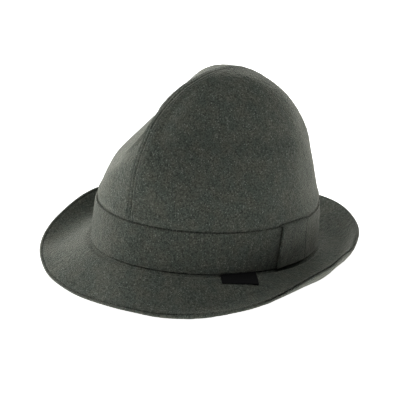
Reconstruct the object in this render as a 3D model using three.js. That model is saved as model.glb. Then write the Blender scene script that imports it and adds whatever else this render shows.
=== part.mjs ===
// A Tyrolean hat sewn from fulled wool cloth: a crown of two panels with a seam over the middle, pinched
// at the front, a band round its foot with a small upright loop, and a two-layer brim that is turned
// down at the front and up along the sides and the back. It stands on its brim.
// Millimetres, +Z up. The hat's front is towards -Y and the wearer's left is towards +X.
import * as THREE from 'three';

// Head opening, measured inside the foot of the crown
const HEAD_LENGTH = 202;
const HEAD_WIDTH = 166;

// Crown
const CROWN_CLOTH = 2;
const DOME_HEIGHT = 114.8;
const COLLAR_TAPER = 1;
const SEAM_LEAN = 8.4;
const LEFT_DENT_DEPTH = 3;
const RIGHT_DENT_DEPTH = 10;

// Band, its loop and the label tab
const BAND_HEIGHT = 36;
const BAND_CLOTH = 1.6;
const LOOP_WIDTH = 32;
const LOOP_CLOTH = 1.6;
const LOOP_STAND_OFF = 1.4;
const TAB_WIDTH = 32;
const TAB_LENGTH = 12.5;
const TAB_CLOTH = 0.8;

// Brim
const BRIM_CLOTH = 1.4;
const BRIM_WIDTH = 45;
const BRIM_DROP = 31.5;
const BRIM_RISE = 16;
const BRIM_DIP = 8.5;

// Gap that neighbouring pieces keep, and how far the cloth is pressed flat where the hat rests
const GAP = 0.3;
const SETTLE = 0.5;

// How finely the cloth is faceted
const PANEL_STEPS = 20;
const ROWS_PER_RING = 2;
const BRIM_STEPS = 60;
const ACROSS_STEPS = 7;
const TRIM_STEPS = 6;
const TAB_STEPS = 4;

// Where the loop and the tab sit, in degrees round the hat from its front towards the wearer's left, and
// how many degrees the tab is turned towards the front
const LOOP_AROUND = 100.5;
const TAB_AROUND = 67;
const TAB_SLANT = 14;

// Rings of the dome from the band up to the top. Reaches to the front, side and back are shares of the
// crown's half length or half width. Lift is a share of the dome's height, and rise what the front has on
// top of it. Middle is how far back the ring is widest, as a share of the half length, and pinch how far
// its cheeks are drawn in beside the nose, as a share of the side's reach. The seam's foot stands to the
// wearer's left of the middle by the seam's lean: turn is the share of it by which the seam walks round
// the ring, and lean the share by which the nose itself is pushed over.
const DOME_RINGS = [
  {
    lift: 0.12, front: 1, rise: 0, side: 0.975, back: 0.975,
    middle: 0, pinch: 0.02, turn: 0.9, lean: 0.1,
  },
  {
    lift: 0.245, front: 0.995, rise: 0, side: 0.94, back: 0.935,
    middle: 0.02, pinch: 0.05, turn: 0.6, lean: 0.4,
  },
  {
    lift: 0.375, front: 0.98, rise: 0, side: 0.885, back: 0.895,
    middle: 0.05, pinch: 0.13, turn: 0.3, lean: 0.7,
  },
  {
    lift: 0.5, front: 0.95, rise: 0, side: 0.8, back: 0.855,
    middle: 0.11, pinch: 0.22, turn: 0, lean: 1,
  },
  {
    lift: 0.6, front: 0.9, rise: 0.01, side: 0.7, back: 0.81,
    middle: 0.16, pinch: 0.3, turn: 0, lean: 1,
  },
  {
    lift: 0.7, front: 0.825, rise: 0.02, side: 0.62, back: 0.74,
    middle: 0.2, pinch: 0.34, turn: 0, lean: 0.95,
  },
  {
    lift: 0.8, front: 0.685, rise: 0.03, side: 0.525, back: 0.63,
    middle: 0.22, pinch: 0.35, turn: 0, lean: 0.8,
  },
  {
    lift: 0.895, front: 0.51, rise: 0.02, side: 0.395, back: 0.475,
    middle: 0.21, pinch: 0.32, turn: 0, lean: 0.55,
  },
  {
    lift: 0.965, front: 0.3, rise: 0.01, side: 0.235, back: 0.28,
    middle: 0.14, pinch: 0.25, turn: 0, lean: 0.3,
  },
];

// The pinch at the front of the crown: one dent on each side of the nose. Around and width are degrees
// from the front towards the wearer's left, lift and height are shares of the dome's height.
const DENTS = [
  { depth: LEFT_DENT_DEPTH, around: 38, width: 20, lift: 0.55, height: 0.28 },
  { depth: RIGHT_DENT_DEPTH, around: -46, width: 24, lift: 0.6, height: 0.24 },
];

// The brim from the front (0 degrees) round to the back: plan width, edge drop, edge rise and the dip
// before the edge as shares of the named sizes, and curl, the power by which the height grows outwards.
const BRIM_SECTIONS = [
  { around: 0, width: 0.62, drop: 0.98, rise: 0.0, dip: 0.0, curl: 1.1 },
  { around: 30, width: 0.84, drop: 0.87, rise: 0.0, dip: 0.1, curl: 1.05 },
  { around: 60, width: 1.0, drop: 0.45, rise: 0.0, dip: 0.75, curl: 1.1 },
  { around: 90, width: 0.97, drop: 0.0, rise: 0.54, dip: 1.0, curl: 2.0 },
  { around: 120, width: 0.71, drop: 0.0, rise: 0.66, dip: 0.9, curl: 2.0 },
  { around: 150, width: 0.72, drop: 0.0, rise: 0.9, dip: 0.4, curl: 1.8 },
  { around: 180, width: 0.73, drop: 0.0, rise: 1.06, dip: 0.0, curl: 1.6 },
];

const HALF_LENGTH = HEAD_LENGTH / 2 + CROWN_CLOTH;
const HALF_WIDTH = HEAD_WIDTH / 2 + CROWN_CLOTH;
const BRIM_SEAT = CROWN_CLOTH + GAP + BAND_CLOTH + GAP;
// Brings the dip's curve, free squared times what is left of the width, to 1 at its lowest
const FULL_DIP = 27 / 4;
const FULL_TURN = 2 * Math.PI;
const radians = THREE.MathUtils.degToRad;

const cloth = new THREE.MeshStandardMaterial({ color: 0x474b44, roughness: 0.95, metalness: 0 });
const wovenTape = new THREE.MeshStandardMaterial({ color: 0x17181a, roughness: 0.7, metalness: 0 });

// Curve through evenly spaced values. A mirrored end continues with the sign given.
function throughValues(values, at, startSign, endSign) {
  const last = values.length - 1;
  const before = startSign === 0 ? 2 * values[0] - values[1] : startSign * values[1];
  const after = endSign === 0 ? 2 * values[last] - values[last - 1] : endSign * values[last - 1];
  const extended = [before, ...values, after];
  const from = THREE.MathUtils.clamp(Math.floor(at), 0, last - 1);
  const t = at - from;
  const [a, b, c, d] = extended.slice(from, from + 4);
  const bend = (2 * a - 5 * b + 4 * c - d) * t + (3 * (b - c) + d - a) * t * t;
  return b + 0.5 * t * (c - a + bend);
}

// Rings of the whole crown in millimetres: the straight collar behind the band, then the dome
function crownRings() {
  const collar = (share) => ({
    front: HALF_LENGTH - COLLAR_TAPER * share,
    side: HALF_WIDTH - COLLAR_TAPER * share,
    back: HALF_LENGTH - COLLAR_TAPER * share,
    lift: BAND_HEIGHT * share,
    rise: 0,
    middle: 0,
    pinch: 0,
    turn: SEAM_LEAN,
    lean: 0,
  });
  const dome = DOME_RINGS.map((ring) => ({
    front: ring.front * (HALF_LENGTH - COLLAR_TAPER),
    side: ring.side * (HALF_WIDTH - COLLAR_TAPER),
    back: ring.back * (HALF_LENGTH - COLLAR_TAPER),
    lift: BAND_HEIGHT + ring.lift * DOME_HEIGHT,
    rise: ring.rise * DOME_HEIGHT,
    middle: ring.middle * (HALF_LENGTH - COLLAR_TAPER),
    pinch: ring.pinch,
    turn: SEAM_LEAN * ring.turn,
    lean: SEAM_LEAN * ring.lean,
  }));
  const top = BAND_HEIGHT + DOME_HEIGHT;
  const summit = { lift: top, front: 0, rise: 0, side: 0, back: 0, middle: 0, pinch: 0, turn: 0, lean: 0 };
  return [collar(0), collar(0.5), collar(1), ...dome, summit];
}

const RINGS = crownRings();
const TOP_RING = RINGS.length - 1;
const TOP_ROW = TOP_RING * ROWS_PER_RING;
// Reaches pass through zero at the summit, and everything else is level there
const REACHES = ['front', 'side', 'back'];

function ringValue(name, ring) {
  const values = RINGS.map((row) => row[name]);
  return throughValues(values, ring, 0, REACHES.includes(name) ? -1 : 1);
}

function dentDepth(around, lift) {
  let depth = 0;
  for (const dent of DENTS) {
    const across = (around - radians(dent.around)) / radians(dent.width);
    const up = ((lift - BAND_HEIGHT) / DOME_HEIGHT - dent.lift) / dent.height;
    depth += dent.depth * Math.exp(-across * across - up * up);
  }
  return depth;
}

// A point on the outside of the crown. Around is 0 at the front and grows towards the wearer's left.
function crownPoint(around, ring) {
  const forward = Math.cos(around);
  const ahead = forward > 0 ? forward * forward : 0;
  const lift = ringValue('lift', ring) + ahead * ringValue('rise', ring);
  const sideways = Math.sin(around);
  const drawnIn = ringValue('pinch', ring) * 4 * ahead * sideways * Math.abs(sideways);
  const outward = sideways - drawnIn;
  const dent = dentDepth(around, lift);
  const x = ringValue('side', ring) * outward + ringValue('lean', ring) * ahead ** 2 - dent * sideways;
  const middle = ringValue('middle', ring);
  const reach = forward > 0 ? ringValue('front', ring) + middle : ringValue('back', ring) - middle;
  const y = middle - forward * reach + dent * forward;
  return new THREE.Vector3(x, y, lift);
}

// How far round the ring the front seam stands
function seamAround(ring) {
  return Math.asin(ringValue('turn', ring) / HALF_WIDTH);
}

// Columns of one panel on a ring, from the front seam to the back one
function panelTurns(side, ring) {
  return evenly(PANEL_STEPS, seamAround(ring), side * Math.PI);
}

function evenly(steps, from, to) {
  return Array.from({ length: steps + 1 }, (_, i) => from + ((to - from) * i) / steps);
}

// Outward direction of a surface given as a function of two parameters, from a small step each way
const STEP = 1e-3;
function outwardNormal(surface, u, v, outside) {
  const alongU = surface(u + STEP, v).sub(surface(u - STEP, v));
  const alongV = surface(u, v + STEP).sub(surface(u, v - STEP));
  const normal = alongU.cross(alongV).normalize();
  return normal.dot(outside) < 0 ? normal.negate() : normal;
}

// A closed skin between two grids of points, an outer and an inner one. A grid that closes on itself
// round the hat has no side walls, and a top row that has shrunk to one point has no top wall.
function clothSolid(outer, inner, closedRound, summit) {
  const rows = outer.length;
  const columns = outer[0].length;
  const points = [];
  const index = (layer, row, col) => {
    const wrapped = closedRound ? col % columns : col;
    return (layer * rows + row) * columns + (summit && row === rows - 1 ? 0 : wrapped);
  };
  for (const layer of [outer, inner]) {
    for (const point of layer.flat()) {
      points.push(point.x, point.y, point.z);
    }
  }
  const triangles = [];
  const triangle = (a, b, c) => {
    if (a !== b && b !== c && c !== a) {
      triangles.push(a, b, c);
    }
  };
  const quad = (a, b, c, d) => {
    triangle(a, b, c);
    triangle(a, c, d);
  };
  const spans = closedRound ? columns : columns - 1;
  for (let row = 0; row < rows - 1; row++) {
    for (let col = 0; col < spans; col++) {
      quad(index(0, row, col), index(0, row, col + 1), index(0, row + 1, col + 1), index(0, row + 1, col));
      quad(index(1, row, col), index(1, row + 1, col), index(1, row + 1, col + 1), index(1, row, col + 1));
    }
  }
  const top = rows - 1;
  for (let col = 0; col < spans; col++) {
    quad(index(1, 0, col), index(1, 0, col + 1), index(0, 0, col + 1), index(0, 0, col));
    quad(index(0, top, col), index(0, top, col + 1), index(1, top, col + 1), index(1, top, col));
  }
  if (!closedRound) {
    for (let row = 0; row < rows - 1; row++) {
      const end = columns - 1;
      quad(index(0, row, 0), index(0, row + 1, 0), index(1, row + 1, 0), index(1, row, 0));
      quad(index(0, row, end), index(1, row, end), index(1, row + 1, end), index(0, row + 1, end));
    }
  }
  return solidGeometry(points, triangles);
}

// Geometry that keeps only the points in use, with its faces turned outward
function solidGeometry(points, triangles) {
  const at = (i) => new THREE.Vector3(points[3 * i], points[3 * i + 1], points[3 * i + 2]);
  let volume = 0;
  for (let t = 0; t < triangles.length; t += 3) {
    volume += at(triangles[t]).dot(at(triangles[t + 1]).cross(at(triangles[t + 2])));
  }
  if (volume < 0) {
    triangles.reverse();
  }
  const used = [...new Set(triangles)];
  const renumbered = new Map(used.map((old, i) => [old, i]));
  const kept = used.flatMap((old) => [points[3 * old], points[3 * old + 1], points[3 * old + 2]]);
  const geometry = new THREE.BufferGeometry();
  geometry.setAttribute('position', new THREE.Float32BufferAttribute(kept, 3));
  geometry.setIndex(triangles.map((old) => renumbered.get(old)));
  geometry.computeVertexNormals();
  return geometry;
}

// One cloth panel of the crown, from the seam's foot at the front to its foot at the back. Side is 1 for
// the wearer's left panel and -1 for the right one.
function crownPanel(side) {
  const outer = [];
  const inner = [];
  for (let row = 0; row <= TOP_ROW; row++) {
    const ring = row / ROWS_PER_RING;
    const seamX = crownPoint(seamAround(ring), ring).x;
    const outerRow = [];
    const innerRow = [];
    for (const [col, around] of panelTurns(side, ring).entries()) {
      const point = crownPoint(around, ring);
      const onSeam = col === 0 || col === PANEL_STEPS;
      const inward = onSeam ? seamInward(around, ring) : crownInward(around, ring);
      if (row === TOP_ROW) {
        inward.set(0, 0, -1);
      }
      if (row === 0) {
        point.z += GAP;
        inward.setZ(0).normalize();
      }
      const inside = point.clone().addScaledVector(inward, CROWN_CLOTH);
      const edge = (col === 0 ? seamX : 0) + (side * GAP) / 2;
      if (onSeam || row === TOP_ROW) {
        point.x = edge;
        inside.x = edge;
      }
      outerRow.push(point);
      innerRow.push(inside);
    }
    outer.push(outerRow);
    inner.push(innerRow);
  }
  return clothSolid(outer, inner, false, true);
}

// The way into the cloth
function crownInward(around, ring) {
  const away = crownPoint(around, ring);
  away.z = Math.max(0, away.z - BAND_HEIGHT);
  return outwardNormal(crownPoint, around, ring, away).negate();
}

// Both panels share the way in along the seam: midway between the ways in a little to each side, and
// longer where the panels lean against each other, so that the cloth keeps its thickness
const BESIDE = 0.03;
const LEAST_SLANT = 0.6;
function seamInward(around, ring) {
  const inward = crownInward(around - BESIDE, ring).add(crownInward(around + BESIDE, ring));
  inward.setX(0).divideScalar(2);
  const slant = inward.length();
  return inward.divideScalar(slant * Math.max(slant, LEAST_SLANT));
}

// A point beside the collar: a way out from its surface at a height above the brim's seat
function collarPoint(around, height, out) {
  const taper = (COLLAR_TAPER * height) / BAND_HEIGHT;
  const a = HALF_WIDTH - taper;
  const b = HALF_LENGTH - taper;
  const normal = new THREE.Vector2(Math.sin(around) / a, -Math.cos(around) / b).normalize();
  const x = a * Math.sin(around) + normal.x * out;
  const y = -b * Math.cos(around) + normal.y * out;
  return new THREE.Vector3(x, y, height);
}

// A closed ribbon whose cross-section, a list of [out, height] corners, follows the collar through turns
function collarRibbon(section, turns, closedRound, standOff) {
  const last = turns.length - 1;
  const rings = turns.map((around, i) => (
    section.map(([out, height]) => collarPoint(around, height, out + standOff(i / last, out)))
  ));
  const corners = section.length;
  const points = rings.flat().flatMap((p) => [p.x, p.y, p.z]);
  const triangles = [];
  for (let i = 0; i < (closedRound ? turns.length : last); i++) {
    const here = i * corners;
    const next = ((i + 1) % turns.length) * corners;
    for (let k = 0; k < corners; k++) {
      const m = (k + 1) % corners;
      triangles.push(here + k, next + k, next + m);
      triangles.push(here + k, next + m, here + m);
    }
  }
  if (!closedRound) {
    const outline = section.map(([out, height]) => new THREE.Vector2(out, height));
    const end = last * corners;
    for (const [a, b, c] of THREE.ShapeUtils.triangulateShape(outline, [])) {
      triangles.push(a, b, c);
      triangles.push(end + c, end + b, end + a);
    }
  }
  return solidGeometry(points, triangles);
}

function bandGeometry() {
  const heights = [GAP, BAND_HEIGHT / 2, BAND_HEIGHT];
  const face = (out) => heights.map((height) => [out, height]);
  const section = [...face(GAP + BAND_CLOTH), ...face(GAP).reverse()];
  const left = panelTurns(1, 0);
  const right = panelTurns(-1, 0).slice(1, PANEL_STEPS).reverse();
  return collarRibbon(section, [...left, ...right], true, () => 0);
}

// The loop stands over the band and turns in over its upper edge
function loopGeometry() {
  const middle = collarPoint(radians(LOOP_AROUND), BAND_HEIGHT / 2, 0);
  const halfTurn = LOOP_WIDTH / 2 / middle.setZ(0).length();
  const near = GAP + BAND_CLOTH + GAP;
  const far = near + LOOP_CLOTH;
  const under = BAND_HEIGHT + GAP;
  const section = [
    [near, 2 * GAP],
    [far, 2 * GAP],
    [far, under + LOOP_CLOTH],
    [GAP, under + LOOP_CLOTH],
    [GAP, under],
    [near, under],
  ];
  const lift = (share, out) => (out < near ? 0 : LOOP_STAND_OFF * (1 - share) ** 2);
  const around = radians(LOOP_AROUND);
  const turns = evenly(TRIM_STEPS, around - halfTurn, around + halfTurn);
  return collarRibbon(section, turns, false, lift);
}

// The smooth value of one column of the brim's table, level at the front and at the back
function brimValue(name, around) {
  const turn = Math.abs(Math.atan2(Math.sin(around), Math.cos(around)));
  const at = (turn / Math.PI) * (BRIM_SECTIONS.length - 1);
  return throughValues(BRIM_SECTIONS.map((row) => row[name]), at, 1, 1);
}

// A point on the top face of the brim. Across is 0 at the head opening, 1 at the rim of the seat that
// crown and band stand on, and 2 at the brim's edge.
function brimPoint(around, across) {
  const a = HEAD_WIDTH / 2;
  const b = HEAD_LENGTH / 2;
  const normal = new THREE.Vector2(Math.sin(around) / a, -Math.cos(around) / b).normalize();
  const free = Math.max(across - 1, 0);
  const height = brimValue('rise', around) * BRIM_RISE - brimValue('drop', around) * BRIM_DROP;
  const dip = brimValue('dip', around) * BRIM_DIP;
  const out = Math.min(across, 1) * BRIM_SEAT + free * BRIM_WIDTH * brimValue('width', around);
  return new THREE.Vector3(
    a * Math.sin(around) + normal.x * out,
    -b * Math.cos(around) + normal.y * out,
    height * free ** brimValue('curl', around) - dip * FULL_DIP * free * free * (1 - free),
  );
}

function belowBrim(around, across, depth) {
  const up = new THREE.Vector3(0, 0, 1);
  const upward = across <= 1 ? up : outwardNormal(brimPoint, around, across, up);
  return brimPoint(around, across).addScaledVector(upward, -depth);
}

// Rows across the brim: the opening, the rim of the seat, then even steps to the edge
function brimRows() {
  const rows = [0];
  for (let step = 0; step <= ACROSS_STEPS; step++) {
    rows.push(1 + step / ACROSS_STEPS);
  }
  return rows;
}

function brimGrid(depth) {
  return brimRows().map((across) => {
    const row = [];
    for (let col = 0; col < BRIM_STEPS; col++) {
      row.push(belowBrim((FULL_TURN * col) / BRIM_STEPS, across, depth));
    }
    return row;
  });
}

// The hat rocks until the front edge of the brim and the back of the head opening both touch the floor
const ROCKS = 12;
function restingPlane(points) {
  const lowest = (half, height) => half.reduce((low, p) => (height(p) < height(low) ? p : low));
  const ahead = points.filter((p) => p.y < 0);
  const behind = points.filter((p) => p.y >= 0);
  let tilt = 0;
  let height = (p) => p.z;
  for (let rock = 0; rock < ROCKS; rock++) {
    const front = lowest(ahead, height);
    const back = lowest(behind, height);
    tilt = Math.atan2(back.z - front.z, back.y - front.y);
    const up = new THREE.Vector3(0, -Math.sin(tilt), Math.cos(tilt));
    height = (p) => p.dot(up);
  }
  const up = new THREE.Vector3(0, -Math.sin(tilt), Math.cos(tilt));
  return { tilt, up, floor: height(lowest(points, height)) + SETTLE };
}

const UNDERSIDE = 2 * BRIM_CLOTH + GAP;
const rest = restingPlane(brimGrid(UNDERSIDE).flat());

// The lower layer is pressed flat where it would pass through the floor
function pressedGrid(depth) {
  const grid = brimGrid(depth);
  for (const point of grid.flat()) {
    const sunk = rest.floor - point.dot(rest.up);
    point.addScaledVector(rest.up, Math.max(sunk, 0));
  }
  return grid;
}

function brimUpperGeometry() {
  return clothSolid(brimGrid(0), brimGrid(BRIM_CLOTH), true, false);
}

function brimUnderGeometry() {
  return clothSolid(brimGrid(BRIM_CLOTH + GAP), pressedGrid(UNDERSIDE), true, false);
}

// The place on the brim under a point seen from above: how far round the hat, how far out from the rim of
// the seat, and how far across
const SEARCH_STEPS = 8;
function placeOnBrim(point) {
  let around = Math.atan2(point.x / HEAD_WIDTH, -point.y / HEAD_LENGTH);
  for (let step = 0; step < SEARCH_STEPS; step++) {
    const along = brimPoint(around + STEP, 1).sub(brimPoint(around - STEP, 1)).divideScalar(2 * STEP);
    around += along.dot(point.clone().sub(brimPoint(around, 1))) / along.lengthSq();
  }
  const rim = brimPoint(around, 1);
  const away = brimPoint(around, 2).sub(rim).setZ(0);
  const out = point.clone().sub(rim).dot(away) / away.length();
  return { around, out, across: 1 + out / away.length() };
}

// One long side or inner line of the tab, seen from above: from the foot of the band to the free end
function tabLine(share) {
  const middle = brimPoint(radians(TAB_AROUND), 1);
  const out = brimPoint(radians(TAB_AROUND), 2).sub(middle).setZ(0).normalize();
  out.applyAxisAngle(new THREE.Vector3(0, 0, 1), -radians(TAB_SLANT));
  const side = new THREE.Vector3(-out.y, out.x, 0);
  const end = middle.clone().addScaledVector(out, TAB_LENGTH);
  end.addScaledVector(side, TAB_WIDTH * (share - 0.5));
  const foot = end.clone();
  for (let step = 0; step < SEARCH_STEPS; step++) {
    foot.addScaledVector(out, GAP - placeOnBrim(foot).out);
  }
  return [foot, end];
}

// The tab lies flat on the brim from the foot of the band outwards, sewn in at a slant
function tabGeometry() {
  const grid = (height) => evenly(TAB_STEPS, 0, 1).map((along) => (
    evenly(TRIM_STEPS, 0, 1).map((share) => {
      const [foot, end] = tabLine(share);
      const place = placeOnBrim(foot.lerp(end, along));
      return belowBrim(place.around, place.across, -height);
    })
  ));
  return clothSolid(grid(GAP + TAB_CLOTH), grid(GAP), false, false);
}

const pieces = [
  ['crown_left', crownPanel(1), cloth],
  ['crown_right', crownPanel(-1), cloth],
  ['hat_band', bandGeometry(), cloth],
  ['band_loop', loopGeometry(), cloth],
  ['brim_upper', brimUpperGeometry(), cloth],
  ['brim_under', brimUnderGeometry(), cloth],
  ['label_tab', tabGeometry(), wovenTape],
];

const hat = new THREE.Group();
for (const [name, geometry, material] of pieces) {
  const mesh = new THREE.Mesh(geometry, material);
  mesh.name = name;
  hat.add(mesh);
}

// Tilted back onto its brim, standing on the floor with the middle of its outline at the origin
hat.rotation.x = -rest.tilt;
const box = new THREE.Box3().setFromObject(hat, true);
hat.position.set(-(box.min.x + box.max.x) / 2, -(box.min.y + box.max.y) / 2, -box.min.z);

export default hat;
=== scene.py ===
# A Tyrolean hat of fulled wool cloth, standing on its brim: two crown panels with a sewn seam over the
# middle, a band with an upright loop, a brim of two layers sewn together at the edge, and a bare tab.
# Shapes are worked out in millimetres with the hat level, then placed in metres where the model stands.
import math

import bpy
import numpy as np
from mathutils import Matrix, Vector


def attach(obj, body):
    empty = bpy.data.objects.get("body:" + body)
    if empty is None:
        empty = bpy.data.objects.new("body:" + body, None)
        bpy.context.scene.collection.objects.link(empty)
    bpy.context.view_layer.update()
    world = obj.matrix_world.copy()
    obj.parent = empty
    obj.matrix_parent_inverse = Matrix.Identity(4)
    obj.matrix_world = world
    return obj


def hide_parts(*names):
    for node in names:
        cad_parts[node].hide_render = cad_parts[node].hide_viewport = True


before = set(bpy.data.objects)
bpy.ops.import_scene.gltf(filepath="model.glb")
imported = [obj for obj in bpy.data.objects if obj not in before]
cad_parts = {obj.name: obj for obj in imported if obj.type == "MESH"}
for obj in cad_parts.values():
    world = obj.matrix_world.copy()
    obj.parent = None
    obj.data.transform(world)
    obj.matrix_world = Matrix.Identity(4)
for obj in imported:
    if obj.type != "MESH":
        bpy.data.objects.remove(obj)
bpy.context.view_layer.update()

# Head opening, measured inside the foot of the crown
HEAD_LENGTH = 202
HEAD_WIDTH = 166

# Crown
CROWN_CLOTH = 2
DOME_HEIGHT = 114.8
COLLAR_TAPER = 1
SEAM_LEAN = 8.4
LEFT_DENT_DEPTH = 3
RIGHT_DENT_DEPTH = 10

# Band, its loop and the label tab
BAND_HEIGHT = 36
BAND_CLOTH = 1.6
LOOP_WIDTH = 32
LOOP_CLOTH = 1.6
LOOP_STAND_OFF = 1.4
LOOP_AROUND = math.radians(100.5)
TAB_WIDTH = 32
TAB_LENGTH = 12.5
TAB_CLOTH = 0.8
TAB_AROUND = math.radians(67)
TAB_SLANT = math.radians(14)

# Brim
BRIM_CLOTH = 1.4
BRIM_WIDTH = 45
BRIM_DROP = 31.5
BRIM_RISE = 16
BRIM_DIP = 8.5

# Gap that neighbouring pieces keep
GAP = 0.3

# How the hat stands: leaning back on its brim by an angle in radians, and moved in mm so that the middle
# of its outline is at the origin and the brim touches the ground
LEAN_BACK = 0.125398
STANDS_AT = np.array([0.0, -2.41564, 15.73296])

# Rings of the dome from the band up to the top. Reaches to the front, side and back are shares of the
# crown's half length or half width. Lift is a share of the dome's height, and rise what the front has on
# top of it. Middle is how far back the ring is widest, and pinch how far its cheeks are drawn in beside
# the nose. Turn and lean share out the seam's lean between walking round and pushing over.
RING_COLUMNS = ("lift", "front", "rise", "side", "back", "middle", "pinch", "turn", "lean")
DOME_RINGS = (
    (0.12, 1, 0, 0.975, 0.975, 0, 0.02, 0.9, 0.1),
    (0.245, 0.995, 0, 0.94, 0.935, 0.02, 0.05, 0.6, 0.4),
    (0.375, 0.98, 0, 0.885, 0.895, 0.05, 0.13, 0.3, 0.7),
    (0.5, 0.95, 0, 0.8, 0.855, 0.11, 0.22, 0, 1),
    (0.6, 0.9, 0.01, 0.7, 0.81, 0.16, 0.3, 0, 1),
    (0.7, 0.825, 0.02, 0.62, 0.74, 0.2, 0.34, 0, 0.95),
    (0.8, 0.685, 0.03, 0.525, 0.63, 0.22, 0.35, 0, 0.8),
    (0.895, 0.51, 0.02, 0.395, 0.475, 0.21, 0.32, 0, 0.55),
    (0.965, 0.3, 0.01, 0.235, 0.28, 0.14, 0.25, 0, 0.3),
)

# The pinch at the front of the crown: depth in mm, where it is and how wide in degrees round from the
# front, where it is and how high as shares of the dome's height
DENT_COLUMNS = ("depth", "around", "width", "lift", "height")
DENTS = (
    (LEFT_DENT_DEPTH, 38, 20, 0.55, 0.28),
    (RIGHT_DENT_DEPTH, -46, 24, 0.6, 0.24),
)

# The brim every 30 degrees from the front round to the back: plan width, edge drop, edge rise and the
# dip before the edge as shares of the named sizes, and curl, the power by which the height grows outwards
BRIM_COLUMNS = ("width", "drop", "rise", "dip", "curl")
BRIM_SECTIONS = (
    (0.62, 0.98, 0.0, 0.0, 1.1),
    (0.84, 0.87, 0.0, 0.1, 1.05),
    (1.0, 0.45, 0.0, 0.75, 1.1),
    (0.97, 0.0, 0.54, 1.0, 2.0),
    (0.71, 0.0, 0.66, 0.9, 2.0),
    (0.72, 0.0, 0.9, 0.4, 1.8),
    (0.73, 0.0, 1.06, 0.0, 1.6),
)

HALF_LENGTH = HEAD_LENGTH / 2 + CROWN_CLOTH
HALF_WIDTH = HEAD_WIDTH / 2 + CROWN_CLOTH
BRIM_SEAT = CROWN_CLOTH + GAP + BAND_CLOTH + GAP
# The dip follows t * t * (1 - t), which is 4/27 where it is deepest
FULL_DIP = 27 / 4

# Sewing, in mm: how far in the cloth rolls over at a seam or an edge, and how far in its stitch row lies
SEAM_ROLL = 0.9
SEAM_ROW = 3.0
EDGE_ROLL = 1.5
EDGE_ROW = 2.3
STITCH_PITCH = 3.2
STITCH_LENGTH = 2.4
THREAD = 0.48
# The ends of a stitch sink into the cloth and its middle stands proud
STITCH_SUNK = 0.8 * THREAD
STITCH_PROUD = 0.1
STITCH_RINGS = 7
STITCH_SIDES = 8
# The crown's stitch rows start this far above the band, in mm
ROW_ABOVE_BAND = 0.6

# Ridges and hollows along a line: how high each stands, how far off the line and how wide it is, in mm
RELIEF_COLUMNS = ("rise", "off", "width")
# Beside the crown's seam the stitch row draws the cloth in, and it is full on both sides of the row
SEAM_RELIEF = (
    (-0.22, SEAM_ROW, 0.5),
    (0.2, 1.8, 0.7),
    (0.25, 5, 2),
)
# In from the brim's rim: the stitch row and the roll outside it, where the seam is on the top face, and
# the seam's turned-in cloth, which ends beyond the row all round
RIM_RELIEF = (
    (-1.0, EDGE_ROW, 0.7),
    (0.4, 0.9, 0.6),
)
TURNING_RELIEF = ((0.35, 4.4, 1.4),)
LOOP_RELIEF = ((-0.3, EDGE_ROW, 0.5),)

# Unevenness of steamed and brushed cloth: how high it stands and how large it is in mm, and its seed
CROWN_WAVE = {"height": 0.3, "size": 38, "seed": 11}
BAND_WAVE = {"height": 0.15, "size": 22, "seed": 21}
LOOP_WAVE = {"height": 0.1, "size": 16, "seed": 31}
BRIM_WAVE = {"height": 0.35, "size": 55, "seed": 41}
NAP = {"height": 0.07, "size": 4.5, "seed": 12}


def named(columns, rows):
    """The rows of a table, each value under its column's name."""
    return [dict(zip(columns, row)) for row in rows]


def through_values(values, at, start_sign, end_sign):
    """A curve through evenly spaced values. A mirrored end continues with the sign given."""
    last = len(values) - 1
    before = start_sign * values[1] if start_sign else 2 * values[0] - values[1]
    after = end_sign * values[last - 1] if end_sign else 2 * values[last] - values[last - 1]
    extended = np.array([before, *values, after], float)
    start = np.clip(np.floor(at).astype(int), 0, last - 1)
    t = at - start
    a, b, c, d = (extended[start + k] for k in range(4))
    bend = (2 * a - 5 * b + 4 * c - d) * t + (3 * (b - c) + d - a) * t * t
    return b + 0.5 * t * (c - a + bend)


def crown_rings():
    """The straight collar behind the band, then the dome, in mm."""
    rings = []
    for share in (0, 0.5, 1):
        taper = COLLAR_TAPER * share
        length, width = HALF_LENGTH - taper, HALF_WIDTH - taper
        rings.append((BAND_HEIGHT * share, length, 0, width, length, 0, 0, SEAM_LEAN, 0))
    long, wide = HALF_LENGTH - COLLAR_TAPER, HALF_WIDTH - COLLAR_TAPER
    scales = (DOME_HEIGHT, long, DOME_HEIGHT, wide, long, long, 1, SEAM_LEAN, SEAM_LEAN)
    for row in DOME_RINGS:
        ring = [value * scale for value, scale in zip(row, scales)]
        rings.append((BAND_HEIGHT + ring[0], *ring[1:]))
    rings.append((BAND_HEIGHT + DOME_HEIGHT, 0, 0, 0, 0, 0, 0, 0, 0))
    return dict(zip(RING_COLUMNS, np.array(rings).T))


RINGS = crown_rings()
TOP_RING = len(RINGS["lift"]) - 1


def ring_value(name, ring):
    """One column of the crown's rings at any ring between. Reaches pass through nought at the top."""
    end_sign = -1 if name in ("front", "side", "back") else 1
    return through_values(RINGS[name], ring, 0, end_sign)


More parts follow.
